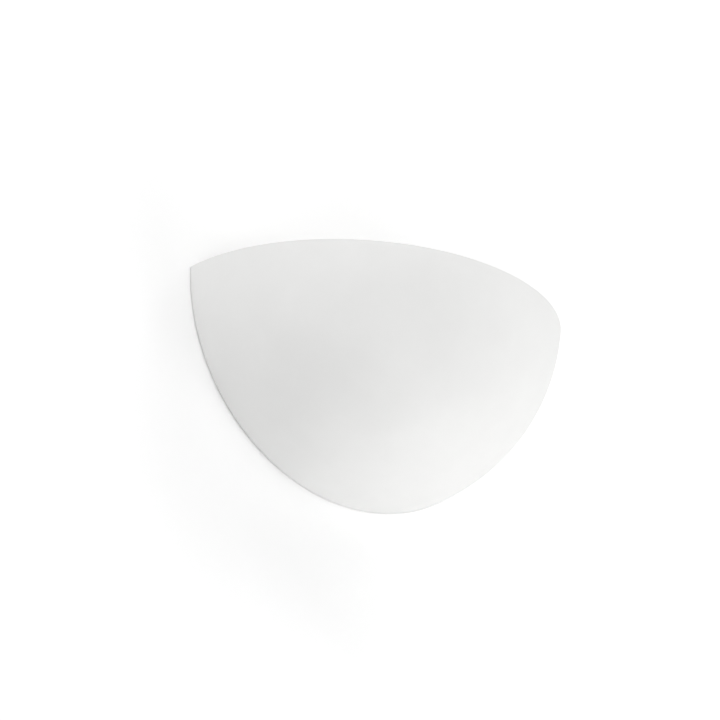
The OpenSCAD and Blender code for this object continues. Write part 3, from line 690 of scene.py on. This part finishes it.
def lug_rings(side):
    """Rings of points from the middle of a lug's face over its round edge and sides into the bowl's wall."""
    middle = (LUG_BACK, LUG_TOP - LUG_H / 2)
    rings = []

    def ring(offset, height=LUG_L, depth=None, shrink=1.0):
        """At a height above the face, or at a depth inside the bowl's inner surface."""
        points = []
        for y, z, sink in lug_outline(offset):
            y = middle[0] + (y - middle[0]) * shrink
            h = height
            # The depth is below a curved surface, so the height and the place in it are found in turns
            for _ in range(1 if depth is None else 6):
                low_z = middle[1] + (z - sink * h - middle[1]) * shrink
                if depth is not None:
                    h = inner_x(y, low_z) + depth - LUG_X
            points.append(Vector((side * (LUG_X + h), y, low_z)))
        rings.append(points)

    for i in range(7):
        ring(-LUG_EDGE, 0, shrink=i / 6)
    for degrees in range(10, 91, 10):
        turn = math.radians(degrees)
        ring(LUG_EDGE * (math.sin(turn) - 1), LUG_EDGE * (1 - math.cos(turn)))
    edge = rings[-1]
    ring(0, depth=-LUG_FILLET)
    foot = rings.pop()
    for i in range(1, 6):
        rings.append([a.lerp(b, i / 5) for a, b in zip(edge, foot)])
    for degrees in range(10, 91, 10):
        turn = math.radians(degrees)
        ring(LUG_FILLET * (1 - math.cos(turn)), depth=-LUG_FILLET * (1 - math.sin(turn)))
    ring(LUG_FILLET + ROOT_WIDER, depth=ROOT_FROM)
    for i in range(5, -1, -1):
        ring(LUG_FILLET + ROOT_WIDER, depth=ROOT_TO, shrink=i / 6 + (1 / 6 if i else 0))
    return rings


def lug_mesh(side):
    points, faces, rows = [], [], []
    for ring in lug_rings(side):
        rows.append(range(len(points), len(points) + len(ring)))
        points += ring
    for a, b in zip(rows, rows[1:]):
        bridge(faces, a, b)
    faces.append([row[0] for row in rows] + [row[-1] for row in reversed(rows)])
    mesh = mesh_from("plaster_lug", points, faces, sharp_angle=50, weld=0.005 * MM)
    mark_inside(mesh)
    return mesh


def make_lugs(finish):
    for side, word in ((-1, "left"), (1, "right")):
        make_piece(f"plaster_lug_{word}", lug_mesh(side), "shade", [finish])


def pad_rows(centre):
    """Rings round a felt disc, from its back at the wall to its front."""
    # Each ring's share of the disc's radius and of its depth
    profile = ((0, 0), (0.6, 0), (0.93, 0.02), (1, 0.25), (0.97, 0.55), (1, 0.8), (0.95, 1), (0, 1))
    rows = []
    for share, depth in profile:
        row = []
        for i in range(PAD_SIDES):
            t = 2 * math.pi * i / PAD_SIDES
            p = Vector((math.cos(t), -depth, math.sin(t)))
            fuzz = 1 - PAD_FUZZ * (1 + noise.noise(p * 4 + centre * 900)) if share > 0.9 else 1
            reach = PAD_R * share * fuzz
            row.append(centre + Vector((reach * p.x, -depth * WALL_GAP, reach * p.z)))
        rows.append(row)
    return rows


def make_pads(finish):
    """Felt discs with a fuzzy edge, on the bowl's back edge."""
    points, faces = [], []
    middle_r = SHADE_R - SHADE_T / 2
    for turn in (-90 - PAD_SPREAD, -90, -90 + PAD_SPREAD):
        a = math.radians(turn)
        centre = Vector((middle_r * math.cos(a), 0, BALL_Z + middle_r * math.sin(a)))
        rows = []
        for row in pad_rows(centre):
            rows.append(range(len(points), len(points) + len(row)))
            points += row
        for low, high in zip(rows, rows[1:]):
            bridge(faces, low, high, closed=True)
    mesh = mesh_from("felt_dots", points, faces, sharp_angle=60, weld=0.002 * MM)
    make_piece("felt_dots", mesh, "shade", [finish], ["felt_pads"])


# ------------------------------------------------------------------ leads

def curve_point(controls, t):
    a, b, c, d = controls
    s = 1 - t
    return a * s ** 3 + b * 3 * t * s * s + c * 3 * t * t * s + d * t ** 3


def curve_heading(controls, t):
    a, b, c, d = controls
    s = 1 - t
    return ((b - a) * 3 * s * s + (c - b) * 6 * t * s + (d - c) * 3 * t * t).normalized()


def tube(points, faces, path, radii, sides):
    """A tube along a path, as a closed surface. It doesn't twist."""
    aside = None
    rows = []
    for k, (p, r) in enumerate(zip(path, radii)):
        ahead = path[min(k + 1, len(path) - 1)] - path[max(k - 1, 0)]
        ahead.normalize()
        if aside is None:
            aside = ahead.orthogonal().normalized()
        aside = (aside - ahead * aside.dot(ahead)).normalized()
        third = ahead.cross(aside)
        rows.append(range(len(points), len(points) + sides))
        for i in range(sides):
            t = 2 * math.pi * i / sides
            points.append(p + r * (math.cos(t) * aside + math.sin(t) * third))
    for low, high in zip(rows, rows[1:]):
        bridge(faces, low, high, closed=True)
    faces.append(list(rows[0]))
    faces.append(list(rows[-1]))


def make_lead(name, controls, bare, skins, replaced):
    """An insulated lead with bare ends. Its skins are jacket, copper and, if it is striped, the stripe."""
    points, faces = [], []
    path = [curve_point(controls, i / LEAD_STEPS) for i in range(LEAD_STEPS + 1)]
    heads = [curve_heading(controls, 0.0), curve_heading(controls, 1.0)]
    # Each end has a ring just inside its tip, and a wider one behind the nose
    tip = 0.001 * MM
    path = [path[0] + heads[0] * tip, path[0] + heads[0] * NOSE, *path[1:-1],
            path[-1] - heads[1] * NOSE, path[-1] - heads[1] * tip]
    radii = [LEAD_R - NOSE_IN] + [LEAD_R] * (len(path) - 2) + [LEAD_R - NOSE_IN]
    tube(points, faces, path, radii, LEAD_SIDES)
    jacket = len(faces)
    # The bare cores start this far inside the jacket
    hidden = 1 * MM
    for end, sign in ((0, -1), (-1, 1)):
        start = path[end] - sign * heads[end] * hidden
        core = [start + sign * heads[end] * (bare + hidden) * k / 4 for k in range(5)]
        tube(points, faces, core, [CORE_R] * 4 + [CORE_R * 0.7], CORE_SIDES)
    mesh = mesh_from(name, points, faces, sharp_angle=50)
    make_piece(name, mesh, "bracket", skins, replaced)
    for index, polygon in enumerate(mesh.polygons):
        striped = len(skins) > 2 and index < jacket - 2
        if index >= jacket:
            polygon.material_index = 1
        elif striped and index % LEAD_SIDES % STRIPE_REPEAT < STRIPE_FACES:
            polygon.material_index = 2


def make_leads(finishes):
    copper = metal("bare_copper", (0.86, 0.47, 0.30), (0.62, 0.32, 0.20), 0.30, (1, 1, 6))
    yellow = moulded("yellow_pvc", (0.78, 0.60, 0.03), 0.38, 0.6, 0.01, 0.1)
    live, neutral, earth = (Vector((i * POLE_PITCH, POLE_Y, POLE_Z)) for i in (-1, 0, 1))
    terminals_low, terminals_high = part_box("holder_terminals")
    for name, start, side in (("live", live, -1), ("neutral", neutral, 1)):
        end = Vector((side * POLE_PITCH, terminals_high.y, terminals_low.z + ENTRY_RISE))
        bend = Vector((end.x, start.y - SUPPLY_OUT, end.z))
        controls = [start, start - Vector((0, 0, SUPPLY_DROP)), bend, end]
        skins = [finishes[f"lead_{name}"], copper]
        make_lead(f"{name}_wire", controls, SUPPLY_BARE, skins, [f"{name}_lead"])
    ring_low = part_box("earth_ring")[0]
    end = Vector((ring_low.x, -EARTH_OUT, ring_low.z + EARTH_RISE))
    controls = [earth, earth + EARTH_START, end - Vector((EARTH_ENTRY, 0, 0)), end]
    skins = [finishes["lead_earth"], copper, yellow]
    make_lead("earth_wire", controls, EARTH_BARE, skins, ["earth_lead"])


# ------------------------------------------------------------------ screw shells

def ring_row(points, z, radius_at):
    """A ring of points about the lamp's axis, with the radius at each turn."""
    for i in range(THREAD_SIDES):
        t = 2 * math.pi * i / THREAD_SIDES
        r = radius_at(t)
        points.append(Vector((AXIS.x + r * math.cos(t), AXIS.y + r * math.sin(t), z)))
    return range(len(points) - THREAD_SIDES, len(points))


def thread_rows(points, crest, z0, z1, lip):
    """Rings of a rolled helical thread between two heights. At both ends it runs out into a plain ring, which
    is as deep as its root if lip is 1 and out at its crest if it is 0."""
    rows = []
    steps = int((z1 - z0) / (THREAD_PITCH / ROWS_PER_TURN))
    for k in range(steps + 1):
        z = z0 + (z1 - z0) * k / steps
        fade = ease(min(1.0, (z - z0) / (RUN_OUT * THREAD_PITCH), (z1 - z) / (RUN_OUT * THREAD_PITCH)))

        def radius_at(t):
            wave = 0.5 - 0.5 * math.cos(2 * math.pi * z / THREAD_PITCH - t)
            return crest - THREAD_DEPTH * (wave * fade + lip * (1 - fade))

        rows.append(ring_row(points, z, radius_at))
    return rows


def make_cap(finish):
    low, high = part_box("lamp_cap")
    crest = (high.x - low.x) / 2
    points, faces = [], []
    rows = [ring_row(points, low.z, lambda t: crest - THREAD_DEPTH - CAP_END_IN)]
    rows += thread_rows(points, crest, low.z + CAP_END, high.z, 1.0)
    for a, b in zip(rows, rows[1:]):
        bridge(faces, a, b, closed=True)
    mesh = mesh_from("screw_cap", points, faces)
    piece = make_piece("screw_cap", mesh, "lamp", [finish], ["lamp_cap"])
    thicken(piece, CAP_SHEET, -1)


def make_sleeve(finish):
    low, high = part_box("holder_sleeve")
    crest = (high.x - low.x) / 2 - SLEEVE_IN
    points, faces = [], []
    rows = thread_rows(points, crest, low.z + SLEEVE_LOW_END, high.z - SLEEVE_HIGH_END, 0.0)
    for a, b in zip(rows, rows[1:]):
        bridge(faces, a, b, closed=True)
    add_feet(points, faces, low.z)
    mesh = mesh_from("screw_shell", points, faces)
    piece = make_piece("screw_shell", mesh, "bracket", [finish], ["holder_sleeve"])
    thicken(piece, SLEEVE_SHEET, 1)


def add_feet(points, faces, z):
    """Two feet bent in from the sleeve's lower edge, under its rivets."""
    # Each row across a foot: its distance from the axis and its height, in millimetres
    bend = ((9.8, 0), (11.3, 0), (12.8, 0), (13.7, 0.1), (14.1, 0.5), (14.2, 1.1), (14.25, 2.2))
    centre = Vector((AXIS.x, AXIS.y, z + FOOT_LIFT))
    for degrees in FOOT_TURNS:
        turn = math.radians(degrees)
        out = Vector((math.cos(turn), math.sin(turn), 0))
        side = Vector((-math.sin(turn), math.cos(turn), 0))
        rows = []
        for reach, rise in bend:
            middle = centre + (out * reach + Vector((0, 0, rise))) * MM
            rows.append(range(len(points), len(points) + 3))
            points += [middle + side * FOOT_HALF_WIDTH * s for s in (-1, 0, 1)]
        for low, high in zip(rows, rows[1:]):
            bridge(faces, low, high)


def thicken(piece, thickness, offset):
    """Gives a surface the thickness of its sheet, inward for the offset -1 and outward for 1."""
    solid = piece.modifiers.new("sheet", "SOLIDIFY")
    solid.thickness = thickness
    solid.offset = offset


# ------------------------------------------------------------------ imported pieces

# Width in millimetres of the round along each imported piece's edges
SOFT_EDGES = {
    "wall_plate": 0.25, "hook_bracket_left": 0.25, "hook_bracket_right": 0.25, "lamp_arm": 0.3,
    "hanger_plate_left": 0.2, "hanger_plate_right": 0.2, "terminal_block": 0.35, "holder_body": 0.5,
    "cable_grommet": 0.25, "earth_ring": 0.12, "earth_screw": 0.12, "earth_washer": 0.08,
    "block_fixing_screws": 0.1, "block_clamp_screws": 0.08, "block_sleeves": 0.12, "holder_terminals": 0.25,
    "holder_terminal_screws": 0.1, "holder_screws": 0.1, "holder_washers": 0.08, "holder_nuts": 0.2,
    "lamp_collar": 0.3, "lamp_insulator": 0.3, "lamp_contact": 0.15, "hook_rivets": 0.1, "arm_rivets": 0.1,
    "holder_contact": 0.08, "led_board": 0.1, "led_chips": 0.1, "driver_board": 0.1,
}


def soften(piece, width):
    """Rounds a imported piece's edges. Its mesh comes split along them, so it is joined first."""
    join = piece.modifiers.new("join", "WELD")
    join.merge_threshold = 0.001 * MM
    edges = piece.modifiers.new("edges", "BEVEL")
    edges.width = width * MM
    edges.segments = 2
    edges.limit_method = "ANGLE"
    edges.angle_limit = math.radians(35)
    edges.use_clamp_overlap = True
    edges.harden_normals = True


def dress_packed_pieces(finishes):
    for name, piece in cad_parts.items():
        slot_name = piece.material_slots[0].material.name
        piece.material_slots[0].material = finishes[slot_name]
        if name in SOFT_EDGES:
            soften(piece, SOFT_EDGES[name])


# ------------------------------------------------------------------ the scene

bpy.context.scene.view_settings.view_transform = "Standard"
make_camera()
make_stage()
make_world()
for lamp_name, (azimuth, elevation, size, share) in LAMPS.items():
    make_lamp(lamp_name, azimuth, elevation, size, share)

finishes = make_finishes()
dress_packed_pieces(finishes)
make_bowl(finishes["plaster"])
make_lugs(finishes["plaster"])
make_pads(finishes["felt"])
make_leads(finishes)
make_cap(finishes["nickel"])
make_sleeve(finishes["brass"])
